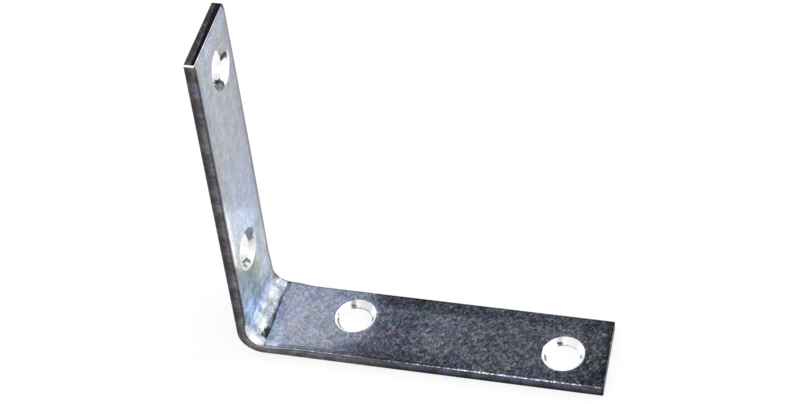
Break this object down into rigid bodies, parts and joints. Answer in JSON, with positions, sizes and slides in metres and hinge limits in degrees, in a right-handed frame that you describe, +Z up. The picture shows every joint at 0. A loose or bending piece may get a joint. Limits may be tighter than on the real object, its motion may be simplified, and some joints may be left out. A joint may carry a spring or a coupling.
{
  "type": "corner brace bracket",
  "caption": "Flat steel strip folded to a right angle, with staggered countersunk screw holes in both legs, for bracing an inside corner.",
  "frame": {"origin": "middle of the lying leg's footprint, on the surface it stands on", "axes": "+X along the lying leg towards its free end, +Z up the standing leg, +Y across the strip"},
  "size_m": [0.0786, 0.02, 0.0787],
  "materials": {
    "zinc_plate": "bright zinc plating on cold rolled strip, satin with fine grain"
  },
  "bodies": {
    "root": {"brace": "zinc_plate"}
  },
  "joints": []
}
